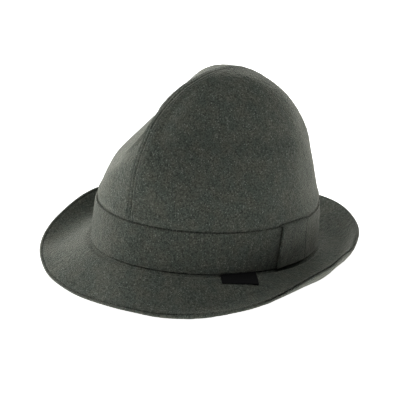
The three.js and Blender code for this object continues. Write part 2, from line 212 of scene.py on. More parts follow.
def crown_point(around, ring):
    """The outside of the crown. Around is 0 at the front and grows towards the wearer's left."""
    around, ring = np.broadcast_arrays(np.asarray(around, float), np.asarray(ring, float))
    forward, sideways = np.cos(around), np.sin(around)
    ahead = np.maximum(forward, 0) ** 2
    lift = ring_value("lift", ring) + ahead * ring_value("rise", ring)
    dent = np.zeros_like(lift)
    for pinch in named(DENT_COLUMNS, DENTS):
        across = (around - math.radians(pinch["around"])) / math.radians(pinch["width"])
        up = ((lift - BAND_HEIGHT) / DOME_HEIGHT - pinch["lift"]) / pinch["height"]
        dent = dent + pinch["depth"] * np.exp(-across * across - up * up)
    drawn_in = ring_value("pinch", ring) * 4 * ahead * sideways * np.abs(sideways)
    middle = ring_value("middle", ring)
    reach = np.where(
        forward > 0, ring_value("front", ring) + middle, ring_value("back", ring) - middle
    )
    x = ring_value("side", ring) * (sideways - drawn_in)
    x = x + ring_value("lean", ring) * ahead ** 2 - dent * sideways
    y = middle - forward * reach + dent * forward
    return np.stack([x, y, lift], -1)


def seam_around(ring):
    """How far round from the front the seam stands."""
    return np.arcsin(ring_value("turn", ring) / HALF_WIDTH)


def short_way(around):
    """A turn from the front taken the short way: positive to the wearer's left, negative to the right."""
    return np.arctan2(np.sin(around), np.cos(around))


def brim_value(name, around):
    """One column of the brim's sections at any turn, the same on both sides."""
    turn = np.abs(short_way(around))
    column = [row[BRIM_COLUMNS.index(name)] for row in BRIM_SECTIONS]
    return through_values(column, turn / math.pi * (len(column) - 1), 1, 1)


def brim_point(around, across):
    """The brim's top face. Across is 0 at the opening, 1 at the rim of the seat and 2 at the edge."""
    around, across = np.broadcast_arrays(np.asarray(around, float), np.asarray(across, float))
    a, b = HEAD_WIDTH / 2, HEAD_LENGTH / 2
    way = unit(np.stack([np.sin(around) / a, -np.cos(around) / b], -1))
    free = np.maximum(across - 1, 0)
    height = brim_value("rise", around) * BRIM_RISE - brim_value("drop", around) * BRIM_DROP
    dip = brim_value("dip", around) * BRIM_DIP * FULL_DIP * free * free * (1 - free)
    out = np.minimum(across, 1) * BRIM_SEAT + free * BRIM_WIDTH * brim_value("width", around)
    x = a * np.sin(around) + way[..., 0] * out
    y = -b * np.cos(around) + way[..., 1] * out
    return np.stack([x, y, height * free ** brim_value("curl", around) - dip], -1)


def collar_point(around, height, out):
    """A point beside the collar: a way out from its surface at a height above the brim's seat."""
    around, height, out = np.broadcast_arrays(*(np.asarray(v, float) for v in (around, height, out)))
    taper = COLLAR_TAPER * height / BAND_HEIGHT
    a, b = HALF_WIDTH - taper, HALF_LENGTH - taper
    way = unit(np.stack([np.sin(around) / a, -np.cos(around) / b], -1))
    x = a * np.sin(around) + way[..., 0] * out
    y = -b * np.cos(around) + way[..., 1] * out
    return np.stack([x, y, height], -1)


def unit(vectors):
    return vectors / np.maximum(np.linalg.norm(vectors, axis=-1, keepdims=True), 1e-12)


def grid_normals(grid, closed_round, outside):
    """Unit normals of a grid of points, turned to the side of outside."""
    if closed_round:
        wrapped = np.concatenate([grid[:, -1:], grid, grid[:, :1]], 1)
        along = np.gradient(wrapped, axis=1)[:, 1:-1]
    else:
        along = np.gradient(grid, axis=1)
    normals = unit(np.cross(along, np.gradient(grid, axis=0)))
    facing = (normals * outside).sum(-1, keepdims=True)
    return normals * np.where(facing < 0, -1, 1)


def ripples(points, height, size, seed):
    """Seeded smooth hills and hollows over points in mm, about as high and as large as asked."""
    waves = 48
    draw = np.random.default_rng(seed)
    ways = unit(draw.normal(size=(waves, 3))) * (2 * math.pi / size)
    ways = ways * draw.uniform(0.6, 1.4, (waves, 1))
    phases = draw.uniform(0, 2 * math.pi, waves)
    total = np.zeros(points.shape[:-1])
    for way, phase in zip(ways, phases):
        total += np.cos(points @ way + phase)
    return height * total * math.sqrt(2 / waves)


def hill(distance, width):
    """A smooth hill: 1 in the middle, and nearly nought two widths away."""
    return np.exp(-((distance / width) ** 2))


def relief(distance, rows):
    """How high the ridges and hollows along a line lift the cloth at distances from it, in mm."""
    parts = named(RELIEF_COLUMNS, rows)
    return sum(part["rise"] * hill(distance - part["off"], part["width"]) for part in parts)


def rounded(distance, radius):
    """How full a rounded edge is, from 0 at the edge to 1 a radius inside it."""
    inside = np.clip(distance / radius, 0, 1)
    return np.sqrt(1 - (1 - inside) ** 2)


def ease(value, low, high):
    """Climbs smoothly from 0 at low to 1 at high."""
    t = np.clip((value - low) / (high - low), 0, 1)
    return t * t * (3 - 2 * t)


def lengths_along(points):
    """Lengths from the first point of a line to each point."""
    steps = np.linalg.norm(np.diff(points, axis=0), axis=-1)
    return np.concatenate([[0], np.cumsum(steps)])


def standing(points):
    """From the level hat in mm to where it stands, in metres."""
    x, y, z = np.moveaxis(np.asarray(points, float), -1, 0)
    c, s = math.cos(LEAN_BACK), math.sin(LEAN_BACK)
    return (np.stack([x, y * c + z * s, z * c - y * s], -1) + STANDS_AT) / 1000


def linear(hex_colour):
    """An sRGB colour in hex as Blender's linear colour."""
    parts = [int(hex_colour[i:i + 2], 16) / 255 for i in (0, 2, 4)]
    return (*(p / 12.92 if p <= 0.04045 else ((p + 0.055) / 1.055) ** 2.4 for p in parts), 1)


def add_node(tree, kind, settings, inputs):
    """Adds a node, sets its properties, and gives each input a value or another node's output."""
    node = tree.nodes.new(kind)
    for name, value in settings.items():
        setattr(node, name, value)
    for name, value in inputs.items():
        if isinstance(value, bpy.types.NodeSocket):
            tree.links.new(value, node.inputs[name])
        else:
            node.inputs[name].default_value = value
    return node


def per_metre(size_mm):
    """A texture's scale, for marks of a size in mm."""
    return 1000 / size_mm


def bands_per_metre(size_mm):
    """A wave texture's scale, for bands of a size in mm: each of its units holds 20 radians of wave."""
    return 2 * math.pi / 20 * 1000 / size_mm


def new_material(name):
    """A bare material, its node tree, and the place on the piece that its patterns follow."""
    material = bpy.data.materials.new(name)
    material.use_nodes = True
    tree = material.node_tree
    tree.nodes.clear()
    place = add_node(tree, "ShaderNodeTexCoord", {}, {}).outputs["Object"]
    return material, tree, place


# Colours of the wool in sRGB
WOOL_DARK_GREEN = "2b2f2b"
WOOL_DARK_BROWN = "31332e"
WOOL_LIGHT_GREEN = "5f665e"
WOOL_SAND = "696c62"
WOOL_UNDYED = "aab1a4"


def fulled_loden(name, darker):
    """Loden: heathered wool cloth, fulled and brushed until fibre hides the weave. The eye sees a matt,
    slightly hairy green-grey with light and dark fibres mixed in, and it pales where seen at a slant.
    Darker is the share by which a copy is painted darker. This is painted shade, standing in for cloth
    brushed the other way, which gives back less light."""
    material, tree, place = new_material(name)
    # Wool dyed in two tones before it was spun: grey-green and sand, in drifts of a centimetre or two
    drift = add_node(tree, "ShaderNodeTexNoise", {}, {
        "Vector": place, "Scale": per_metre(12), "Detail": 1.0, "Roughness": 0.7,
    }).outputs["Fac"]
    drift_share = add_node(tree, "ShaderNodeMapRange", {}, {
        "Value": drift, "From Min": 0.36, "From Max": 0.66,
    }).outputs["Result"]
    dark = add_node(tree, "ShaderNodeMix", {"data_type": "RGBA"}, {
        "Factor": drift_share, "A": linear(WOOL_DARK_GREEN), "B": linear(WOOL_DARK_BROWN),
    }).outputs["Result"]
    light = add_node(tree, "ShaderNodeMix", {"data_type": "RGBA"}, {
        "Factor": drift_share, "A": linear(WOOL_LIGHT_GREEN), "B": linear(WOOL_SAND),
    }).outputs["Result"]
    # The wool fibres are 0.03 mm, too fine to show: they are drawn as tufts from 1.5 mm down to 0.2
    tufts = add_node(tree, "ShaderNodeTexNoise", {}, {
        "Vector": place, "Scale": per_metre(1.5), "Detail": 3.0, "Roughness": 0.95,
    }).outputs["Fac"]
    tuft_share = add_node(tree, "ShaderNodeMapRange", {}, {
        "Value": tufts, "From Min": 0.38, "From Max": 0.64,
    }).outputs["Result"]
    blend = add_node(tree, "ShaderNodeMix", {"data_type": "RGBA"}, {
        "Factor": tuft_share, "A": dark, "B": light,
    }).outputs["Result"]
    # Undyed kemp fibres: pale flecks about 1.3 mm apart
    flecks = add_node(tree, "ShaderNodeTexVoronoi", {}, {
        "Vector": place, "Scale": per_metre(1.3),
    })
    fleck_share = add_node(tree, "ShaderNodeMapRange", {}, {
        "Value": flecks.outputs["Distance"], "From Min": 0.4, "From Max": 0.15, "To Max": 0.6,
    }).outputs["Result"]
    pick = add_node(tree, "ShaderNodeSeparateColor", {}, {
        "Color": flecks.outputs["Color"],
    }).outputs["Red"]
    picked = add_node(tree, "ShaderNodeMapRange", {}, {
        "Value": pick, "From Min": 0.6, "From Max": 0.95,
    }).outputs["Result"]
    fleck_mix = add_node(tree, "ShaderNodeMath", {"operation": "MULTIPLY"}, {
        0: fleck_share, 1: picked,
    }).outputs["Value"]
    flecked = add_node(tree, "ShaderNodeMix", {"data_type": "RGBA"}, {
        "Factor": fleck_mix, "A": blend, "B": linear(WOOL_UNDYED),
    }).outputs["Result"]
    # Painted shade: the copy for the band and loop is mixed towards black by the share darker
    coloured = add_node(tree, "ShaderNodeMix", {"data_type": "RGBA"}, {
        "Factor": darker, "A": flecked, "B": (0, 0, 0, 1),
    }).outputs["Result"]
    # Nap: the brushed surface, uneven at 1.8 mm and less
    nap = add_node(tree, "ShaderNodeTexNoise", {}, {
        "Vector": place, "Scale": per_metre(1.8), "Detail": 4.0, "Roughness": 0.75,
    }).outputs["Fac"]
    nap_bump = add_node(tree, "ShaderNodeBump", {}, {
        "Height": nap, "Strength": 0.8, "Distance": 0.0012,
    }).outputs["Normal"]
    shader = add_node(tree, "ShaderNodeBsdfPrincipled", {}, {
        "Base Color": coloured, "Roughness": 0.95, "Specular IOR Level": 0.12,
        "Sheen Weight": 0.72, "Sheen Roughness": 0.3, "Sheen Tint": linear("f0f0e2"),
        "Normal": nap_bump,
    }).outputs["BSDF"]
    add_node(tree, "ShaderNodeOutputMaterial", {}, {"Surface": shader})
    return material


def woven_tape():
    """Polyester label tape, woven tight in black: fine ribs and a faint satin shine."""
    material, tree, place = new_material("woven_polyester_tape")
    turned = add_node(tree, "ShaderNodeMapping", {}, {
        "Vector": place, "Rotation": (0, 0, TAB_SLANT - TAB_AROUND),
    }).outputs["Vector"]
    # The threads are 0.2 mm, too fine to show: the ribs are drawn 1.8 mm apart, and 2.2 mm crosswise
    ribs = add_node(tree, "ShaderNodeTexWave", {"bands_direction": "X"}, {
        "Vector": turned, "Scale": bands_per_metre(1.777), "Distortion": 0.4, "Detail": 1.0,
    }).outputs["Fac"]
    picks = add_node(tree, "ShaderNodeTexWave", {"bands_direction": "Y"}, {
        "Vector": turned, "Scale": bands_per_metre(2.171), "Distortion": 0.4, "Detail": 1.0,
    }).outputs["Fac"]
    weave = add_node(tree, "ShaderNodeMath", {"operation": "MULTIPLY"}, {
        0: ribs, 1: picks,
    }).outputs["Value"]
    coloured = add_node(tree, "ShaderNodeMix", {"data_type": "RGBA"}, {
        "Factor": weave, "A": linear("040405"), "B": linear("0e0f10"),
    }).outputs["Result"]
    weave_bump = add_node(tree, "ShaderNodeBump", {}, {
        "Height": weave, "Strength": 0.5, "Distance": 0.0002,
    }).outputs["Normal"]
    shader = add_node(tree, "ShaderNodeBsdfPrincipled", {}, {
        "Base Color": coloured, "Roughness": 0.75, "Specular IOR Level": 0.15, "Normal": weave_bump,
    }).outputs["BSDF"]
    add_node(tree, "ShaderNodeOutputMaterial", {}, {"Surface": shader})
    return material


def sewing_thread():
    """Spun polyester sewing thread, dyed to match and a little darker: matt, with a twist that shows as
    faint stripes."""
    material, tree, place = new_material("spun_polyester_thread")
    # Two plies twisted at 0.5 mm
    twist = add_node(tree, "ShaderNodeTexNoise", {}, {
        "Vector": place, "Scale": per_metre(0.5), "Detail": 1.0,
    }).outputs["Fac"]
    coloured = add_node(tree, "ShaderNodeMix", {"data_type": "RGBA"}, {
        "Factor": twist, "A": linear("191c18"), "B": linear("2b2f29"),
    }).outputs["Result"]
    shader = add_node(tree, "ShaderNodeBsdfPrincipled", {}, {
        "Base Color": coloured, "Roughness": 0.6, "Sheen Weight": 0.15,
    }).outputs["BSDF"]
    add_node(tree, "ShaderNodeOutputMaterial", {}, {"Surface": shader})
    return material


def lit_acrylic():
    """Opal white acrylic sheet, lit evenly from below, as under things photographed on pure white."""
    material, tree, place = new_material("opal_white_acrylic")
    cloud = add_node(tree, "ShaderNodeTexNoise", {}, {
        "Vector": place, "Scale": per_metre(400), "Detail": 1.0,
    }).outputs["Fac"]
    coloured = add_node(tree, "ShaderNodeMix", {"data_type": "RGBA"}, {
        "Factor": cloud, "A": linear("f4f4f2"), "B": linear("f8f8f6"),
    }).outputs["Result"]
    shader = add_node(tree, "ShaderNodeBsdfPrincipled", {}, {
        "Base Color": coloured, "Roughness": 0.95, "Specular IOR Level": 0.1,
        "Emission Color": (1, 1, 1, 1), "Emission Strength": FLOOR_GLOW,
    }).outputs["BSDF"]
    add_node(tree, "ShaderNodeOutputMaterial", {}, {"Surface": shader})
    return material


loden = fulled_loden("fulled_loden_wool", 0.0)
# The band and loop take a copy painted darker: painted shade for nap brushed the other way
shaded_loden = fulled_loden("fulled_loden_wool_painted_shade", 0.14)
tape = woven_tape()
thread = sewing_thread()


def new_piece(name, points, faces, material, slot, *nodes):
    """A smooth piece from placed points, riding on the hat, that stands for the nodes."""
    mesh = bpy.data.meshes.new(name)
    mesh.from_pydata(points.tolist(), [], faces)
    mesh.shade_smooth()
    mesh.materials.append(material)
    piece = bpy.data.objects.new(name, mesh)
    bpy.context.scene.collection.objects.link(piece)
    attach(piece, "root")
    if nodes:
        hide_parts(*nodes)
    return piece


def cloth_piece(name, outer, inner, material, slot, node, closed_round=False, summit=False):
    """A closed skin over two grids of placed points, outer and inner, that share their borders. Closed
    round, the last column meets the first. With a summit, the last row is one point."""
    rows, columns = outer.shape[:2]
    outside = np.arange(rows * columns).reshape(rows, columns)
    inside = outside + rows * columns
    inside[[0, -1]] = outside[[0, -1]]
    if closed_round:
        outside = np.concatenate([outside, outside[:, :1]], 1)
        inside = np.concatenate([inside, inside[:, :1]], 1)
    else:
        inside[:, [0, -1]] = outside[:, [0, -1]]
    if summit:
        outside[-1] = inside[-1] = outside[-1, 0]
    squares = []
    for grid in (outside, inside[:, ::-1]):
        corners = (grid[:-1, :-1], grid[:-1, 1:], grid[1:, 1:], grid[1:, :-1])
        squares.append(np.stack(corners, -1).reshape(-1, 4))
    squares = np.concatenate(squares)
    points = np.concatenate([outer.reshape(-1, 3), inner.reshape(-1, 3)])
    used, numbered = np.unique(squares, return_inverse=True)
    squares, points = numbered.reshape(-1, 4), points[used]
    a, b, c, d = (points[squares[:, k]] for k in range(4))
    if (a * (np.cross(b, c) + np.cross(c, d))).sum() < 0:
        squares = squares[:, ::-1]
    pointed = squares[:, 2] == squares[:, 3]
    flat_tip = squares[:, 0] == squares[:, 1]
    tips = np.concatenate([squares[pointed][:, :3], squares[flat_tip][:, 1:]])
    faces = squares[~(pointed | flat_tip)].tolist() + tips.tolist()
    return new_piece(name, points, faces, material, slot, node)


# Places of rows or columns in from a sewn seam, in from a stitched edge and in from a folded one, in mm:
# close together where the cloth rolls over and where the stitch row lies
SEAM_PLACES = (0, 0.1, 0.3, 0.55, 0.9, 1.3, 1.8, 2.3, 2.7, 3.0, 3.3, 3.8, 4.5, 5.5, 6.8, 8.4)
EDGE_PLACES = (0, 0.08, 0.25, 0.5, 0.8, 1.15, 1.5, 1.8, 2.05, 2.3, 2.55, 2.9, 3.5, 4.5, 6)
FOLD_PLACES = (0, 0.06, 0.2, 0.4, 0.65, 1.0, 1.6)


def places_between(length, from_start, from_end, middles):
    """Places along a length: close together at its ends, even between, and drawn in on a short one."""
    start, end = np.array(from_start, float), np.array(from_end, float)
    shrink = min(1, length / (2 * (start[-1] + end[-1])))
    start, end = start * shrink, length - end[::-1] * shrink
    return np.concatenate([start, np.linspace(start[-1], end[0], middles + 2)[1:-1], end])


# The crown's rows in mm up from its foot: close together at the foot, far apart behind the band, and
# even above it. Each row has so many columns between those beside the seam.
FOOT_PLACES = (0, 0.2, 0.6, 1.2)
HIDDEN_ROW_STEP = 4
CROWN_ROW_STEP = 1.35
CROWN_MIDDLES = 190
# The crown swells over the band's upper edge: how far, how high above the edge and how wide, in mm
SWELL = 1.1
SWELL_ABOVE = 6
SWELL_WIDTH = 4.5
# Half the hairline between the panels at the seam and between the brim's layers at the rim, in mm
SEAM_SLIT = 0.02
RIM_SLIT = 0.01
# Steps in which a curve is measured before rows or columns are spaced along it
UP_STEPS = 1500
ROUND_STEPS = 900
SEAM_STEPS = 700
FOLD_STEPS = 80
BRIM_STEPS = 400


def crown_rows():
    """Rings of the crown's rows, from a gap above the brim's seat to the summit."""
    collar_rings_per_mm = 2 / BAND_HEIGHT
    fine = np.linspace(GAP * collar_rings_per_mm, TOP_RING, UP_STEPS)
    ways = (crown_point(turn, fine) for turn in (0, math.pi / 2, math.pi))
    reach = sum(lengths_along(way) for way in ways) / 3
    last_hidden = BAND_HEIGHT - HIDDEN_ROW_STEP
    hidden = np.arange(HIDDEN_ROW_STEP, last_hidden, HIDDEN_ROW_STEP)
    shown = np.arange(last_hidden, reach[-1], CROWN_ROW_STEP)
    places = np.concatenate([FOOT_PLACES, hidden, shown, [reach[-1]]])
    return np.interp(places, reach, fine)


CROWN_ROWS = crown_rows()


def seam_line():
    """The seam on the outside of the crown, from its foot at the front over the top to the back."""
    rings = np.linspace(0, TOP_RING, SEAM_STEPS)
    front = crown_point(seam_around(rings), rings)
    back = crown_point(math.pi, rings[::-1])
    return np.concatenate([front, back[1:]])


def beside_line(points, line):
    """Distance of each point from a line of points."""
    ways = unit(np.gradient(line, axis=0))
    found = []
    for row in points:
        apart = row[:, None] - line[None]
        near = (apart ** 2).sum(-1).argmin(1)
        step = row - line[near]
        along = (step * ways[near]).sum(-1, keepdims=True) * ways[near]
        found.append(np.linalg.norm(step - along, axis=-1))
    return np.array(found)


SEAM = seam_line()

# The fold that the pinch draws over the nose to the wearer's right, from the seam down to the cheek:
# degrees round from the front, and ring
FOLD_COLUMNS = ("around", "ring")
NOSE_FOLD = (
    (-6, 8.1),
    (-12, 7.1),
    (-20, 6.1),
    (-32, 5.1),
    (-38, 4.3),
)
# Across the fold, in mm beyond it: its ridge, the hollow and the cheek. Beyond is the side of the fold
# where the right dent is, at this ring.
FOLD_RELIEF = (
    (2.4, -1.2, 2.2),
    (-3.6, 4.2, 3.4),
    (1.2, 10.5, 4.5),
)
DENT_RING = 6.2
# The fold comes up over this share of its length at each end, and beside the seam over so many mm
FOLD_START = 0.5
FOLD_END = 0.55
FOLD_FADE = 6

# Soft forms that handling has left in the crown: how high they stand in mm, where they are in degrees
# round from the front and in rings, how wide in mm, and within how many mm of the seam they fade. The
# cheek below the pinch, the cloth drawn in beside the nose, and a fuller top and back.
FORM_COLUMNS = ("rise", "around", "ring", "width", "fade")
SOFT_FORMS = (
    (1.9, -62, 4.5, 18, 9),
    (-1.9, -15, 8.4, 9, 9),
    (1.9, 195, 11.2, 30, 0),
    (0.8, 146, 6.9, 22, 9),
)


def nose_fold(points):
    """How far the fold lifts or sinks each point of the crown, in mm."""
    fold = dict(zip(FOLD_COLUMNS, np.array(NOSE_FOLD, float).T))
    shares = np.linspace(0, 1, FOLD_STEPS)
    at = shares * (len(NOSE_FOLD) - 1)
    around, ring = (through_values(fold[name], at, 0, 0) for name in FOLD_COLUMNS)
    path = crown_point(np.radians(around), ring)
    right_dent = named(DENT_COLUMNS, DENTS)[1]
    middle = crown_point(math.radians(right_dent["around"]), DENT_RING)
    lifted = []
    for row in points:
        apart = row[:, None] - path[None]
        near = (apart ** 2).sum(-1).argmin(1)
        step = row - path[near]
        distance = np.linalg.norm(step, axis=-1)
        beyond = distance * np.sign((step * (middle - path[near])).sum(-1))
        strength = ease(shares[near], 0, FOLD_START) * ease(1 - shares[near], 0, FOLD_END)
        lifted.append(strength * relief(beyond, FOLD_RELIEF))
    return np.array(lifted)


def soft_forms(points, beside):
    """How far handling pushed each point of the crown out, in mm."""
    push = 0
    for form in named(FORM_COLUMNS, SOFT_FORMS):
        away = points - crown_point(math.radians(form["around"]), form["ring"])
        fade = ease(beside, 0, form["fade"]) if form["fade"] else 1
        push = push + fade * form["rise"] * hill(np.linalg.norm(away, axis=-1), form["width"])
    return push


def crown_panel(side, name, node):
    """One panel of the crown, side 1 for the wearer's left and -1 for the right. Returns its outer face
    in mm with its normals and the distances from the seam."""
    grid = []
    for ring in CROWN_ROWS:
        fine = np.linspace(seam_around(ring), side * math.pi, ROUND_STEPS)
        reach = lengths_along(crown_point(fine, ring))
        places = places_between(reach[-1], SEAM_PLACES, SEAM_PLACES, CROWN_MIDDLES)
        grid.append(crown_point(np.interp(places, reach, fine), ring))
    grid = np.array(grid)
    outwards = grid * 1.0
    outwards[..., 2] = np.maximum(outwards[..., 2] - BAND_HEIGHT, 0)
    normals = grid_normals(grid, False, outwards)
    normals[-1] = (0, 0, 1)
    beside = beside_line(grid, SEAM)
    beside[:, [0, -1]] = 0
    beside[-1] = 0
    above_band = grid[..., 2] - BAND_HEIGHT
    shown = ease(above_band, 1, 10)
    push = SWELL * hill(above_band - SWELL_ABOVE, SWELL_WIDTH) * ease(above_band, -1, 2)
    push = push + relief(beside, SEAM_RELIEF) * ease(above_band, 0, 2)
    push = push + shown * ripples(grid, **CROWN_WAVE) + soft_forms(grid, beside)
    push = push + nose_fold(grid) * ease(beside, 0, FOLD_FADE)
    half = CROWN_CLOTH / 2 * rounded(beside, SEAM_ROLL)
    half = half * rounded(above_band - above_band[0] + 0.001, CROWN_CLOTH / 2)
    nap = shown * ripples(grid, **NAP)
    middle = grid + normals * (push - CROWN_CLOTH / 2)[..., None]
    outer = middle + normals * (half + nap * np.sign(half))[..., None]
    inner = middle - normals * half[..., None]
    outer[..., 0] += SEAM_SLIT * side
    inner[..., 0] += SEAM_SLIT * side
    piece = cloth_piece(
        name, standing(outer), standing(inner), loden, "loden_cloth", node, summit=True
    )
    return piece, outer, normals, beside


def row_beside_seam(outer, normals, beside):
    """The line of a stitch row on one panel, from the band over the top to the band, and its normals."""
    front, back = [], []
    for points, ways, off in zip(outer, normals, beside):
        hidden = points[0, 2] < BAND_HEIGHT + ROW_ABOVE_BAND
        if hidden or off.max() <= SEAM_ROW:
            continue
        both = np.concatenate([points, ways], 1)
        half = len(off) // 2
        for found, part in ((front, slice(None, half)), (back, slice(None, half, -1))):
            found.append([np.interp(SEAM_ROW, off[part], column) for column in both[part].T])
    line = np.array(front + back[::-1])
    return line[:, :3], unit(line[:, 3:])


def stitches(name, line, normals, closed_round=False):
    """A row of stitches along a line in mm: lengths of thread that dip into the cloth at both ends."""
    if closed_round:
        line, normals = (np.concatenate([v, v[:1]]) for v in (line, normals))
    reach = lengths_along(line)
    count = int(reach[-1] / STITCH_PITCH)
    centres = (np.arange(count) + 0.5) * reach[-1] / count

    def at(values, where):
        return np.stack([np.interp(where, reach, column) for column in values.T], -1)

    middle = at(line, centres)
    third = STITCH_LENGTH / 3
    along = unit(at(line, centres + third) - at(line, centres - third))
    up = at(normals, centres)
    up = unit(up - (up * along).sum(-1, keepdims=True) * along)
    across = np.cross(up, along)
    # One stitch, from end to end: along the row, across it, and up from the cloth
    half = STITCH_LENGTH / 2
    turns = np.arange(STITCH_SIDES) * 2 * math.pi / STITCH_SIDES
    local = [(-half, 0, -STITCH_SUNK)]
    last_ring = 0.96
    for share in np.linspace(-last_ring, last_ring, STITCH_RINGS):
        radius = THREAD / 2 * math.sqrt(1 - share ** 4)
        sunk = STITCH_SUNK * abs(share) ** 3
        for turn in turns:
            local.append((share * half, radius * math.cos(turn), radius * math.sin(turn) - sunk))
    local.append((half, 0, -STITCH_SUNK))
    local = np.array(local)
    points = middle[:, None] + local[:, :1] * along[:, None]
    points = points + local[:, 1:2] * across[:, None] + (local[:, 2:] + STITCH_PROUD) * up[:, None]
    faces = []
    last = STITCH_RINGS * STITCH_SIDES + 1
    for side in range(STITCH_SIDES):
        after = (side + 1) % STITCH_SIDES
        faces.append((0, 1 + after, 1 + side))
        for ring in range(STITCH_RINGS - 1):
            here = 1 + ring * STITCH_SIDES
            there = here + STITCH_SIDES
            faces.append((here + side, here + after, there + after, there + side))
        faces.append((last, last - STITCH_SIDES + side, last - STITCH_SIDES + after))
    size = len(local)
    every = [[k * size + i for i in face] for k in range(count) for face in faces]
    return new_piece(name, standing(points.reshape(-1, 3)), every, thread, "loden_cloth")


for side, hand, foot, cloth_area in ((1, "left", 0.288, 0.04), (-1, "right", 0.304, 0.042)):
    panel, *face = crown_panel(side, "crown_panel_" + hand, "crown_" + hand)
    row = stitches("seam_stitches_" + hand, *row_beside_seam(*face))


BAND_COLUMNS = 440
BAND_MIDDLES = 22
# How full the band is half-way up, in mm
BAND_BELLY = 0.3


def band():
    """The band round the foot of the crown, both edges folded over and a little full between them."""
    around = np.arange(BAND_COLUMNS) * 2 * math.pi / BAND_COLUMNS
    places = places_between(BAND_HEIGHT - GAP, FOLD_PLACES, FOLD_PLACES, BAND_MIDDLES)
    height = (GAP + places)[:, None]
    middle = collar_point(around[None], height, GAP + BAND_CLOTH / 2)
    ways = grid_normals(middle, True, middle * (1, 1, 0))
    from_edge = np.minimum(places, places[-1] - places)[:, None]
    half = BAND_CLOTH / 2 * rounded(from_edge, BAND_CLOTH / 2)
    belly = BAND_BELLY * np.sin(np.pi * (places / places[-1]))[:, None]
    full = belly + ripples(middle, **BAND_WAVE) + ripples(middle, **NAP)
    outer = middle + ways * (half + full * ease(from_edge, 0, 2))[..., None]
    inner = middle - ways * half[..., None]
    return cloth_piece(
        "band_cloth", standing(outer), standing(inner), shaded_loden, "loden_cloth", "hat_band",
        closed_round=True,
    )


band()


# The loop, in shares or mm: how much more it stands off at its foot than at its top, how much further
# forward its slanted front side is at its foot, and about which height, how far above the brim its foot
# ends, how it bends in over the band, and how far out from the crown it ends there
LOOP_SAG = 0.5
LOOP_SLANT = 4.5
LOOP_SLANT_ABOUT = 0.65
LOOP_FOOT = 1.5
LOOP_BEND = 1.6
LOOP_END = 0.9
LOOP_ROW_MIDDLES = 46
LOOP_COLUMN_MIDDLES = 20


def loop_path():
    """The loop's middle from its foot up and in over the band: out from the crown, and height, in mm."""
    centre = GAP + BAND_CLOTH + GAP + LOOP_CLOTH / 2
    top = BAND_HEIGHT + GAP + LOOP_CLOTH / 2
    inner, lower = centre - LOOP_BEND, top - LOOP_BEND
    turns = np.linspace(0, math.pi / 2, 9)
    corner = [(inner + LOOP_BEND * math.cos(turn), lower + LOOP_BEND * math.sin(turn)) for turn in turns]
    return np.array([(centre, LOOP_FOOT), *corner, (LOOP_END, top)])


def loop():
    """The loop: a strip that stands over the band, turns in over its top, and stands off it in front."""
    path = loop_path()
    top = path[-1, 1]
    reach = lengths_along(path)
    places = places_between(reach[-1], FOLD_PLACES, FOLD_PLACES[:5], LOOP_ROW_MIDDLES)
    out = np.interp(places, reach, path[:, 0])
    height = np.interp(places, reach, path[:, 1])
    middle = collar_point(LOOP_AROUND, BAND_HEIGHT / 2, 0)
    half_turn = LOOP_WIDTH / 2 / np.linalg.norm(middle[:2])
    across = places_between(LOOP_WIDTH, FOLD_PLACES, EDGE_PLACES[:12], LOOP_COLUMN_MIDDLES)
    share = across / LOOP_WIDTH
    slant = (LOOP_SLANT_ABOUT - height / top) * ease(height, 0, 1)
    forward = LOOP_SLANT * slant[:, None] * (1 - share)
    around = LOOP_AROUND + half_turn * (2 * share - 1 - 2 * forward / LOOP_WIDTH)
    sag = 1 + LOOP_SAG * (1 - height / top)
    over_band = ease(out, LOOP_END, GAP + BAND_CLOTH + GAP)
    stands_off = LOOP_STAND_OFF * (1 - share) ** 2 * (over_band * sag)[:, None]
    grid = collar_point(around, height[:, None], out[:, None] + stands_off)
    # On top of the band the loop faces up: a long way up outweighs the way out from the hat's middle
    upwards = np.array([0, 0, HEAD_LENGTH]) * ease(height, top - 2, top)[:, None, None]
    ways = grid_normals(grid, False, grid * (1, 1, 0) + upwards)
    ends = np.minimum(places, places[-1] - places)[:, None]
    sides = np.minimum(across, LOOP_WIDTH - across)[None]
    half = LOOP_CLOTH / 2 * rounded(ends, LOOP_CLOTH / 2) * rounded(sides, LOOP_CLOTH / 2)
    sewn = relief(LOOP_WIDTH - across, LOOP_RELIEF)[None] * ease(places, 0, 2)[:, None]
    full = (ripples(grid, **LOOP_WAVE) + ripples(grid, **NAP)) * ease(np.minimum(ends, sides), 0, 2)
    outer = grid + ways * (half + sewn * (half > 0) + full)[..., None]
    inner = grid - ways * half[..., None]
    piece = cloth_piece(
        "loop_cloth", standing(outer), standing(inner), shaded_loden, "loden_cloth", "band_loop"
    )
    column = int(np.abs(LOOP_WIDTH - across - EDGE_ROW).argmin())
    rows = (places > 1) & (places < places[-1] - 4)
    return piece, outer[rows, column], ways[rows, column]


loop_piece, *loop_row = loop()
stitches("loop_stitches", *loop_row)


BRIM_COLUMN_COUNT = 600
BRIM_MIDDLES = 24
# Bends of the brim's edge from handling: how far up or down in mm, and where round from the front and
# how wide in degrees
LIFT_COLUMNS = ("rise", "around", "width")
EDGE_LIFTS = (
    (2.2, 23.5, 9),
    (2.0, -47, 17),
    (1.5, -66, 9),
    (1.7, 108, 8),
    (-2.0, 125, 7),
    (1.6, 162, 14),
)
# The seam under the band draws the brim down beside it, most at the sides: how deep, how far out and how
# wide in mm, and where it is deepest and how far it runs, in radians
FOOT_GROOVE = 1.5
SIDE_GROOVE = 2.6
GROOVE_OUT = 0.8
GROOVE_WIDTH = 2
SIDE_GROOVE_AROUND = math.radians(98)
SIDE_GROOVE_LENGTH = math.radians(24)
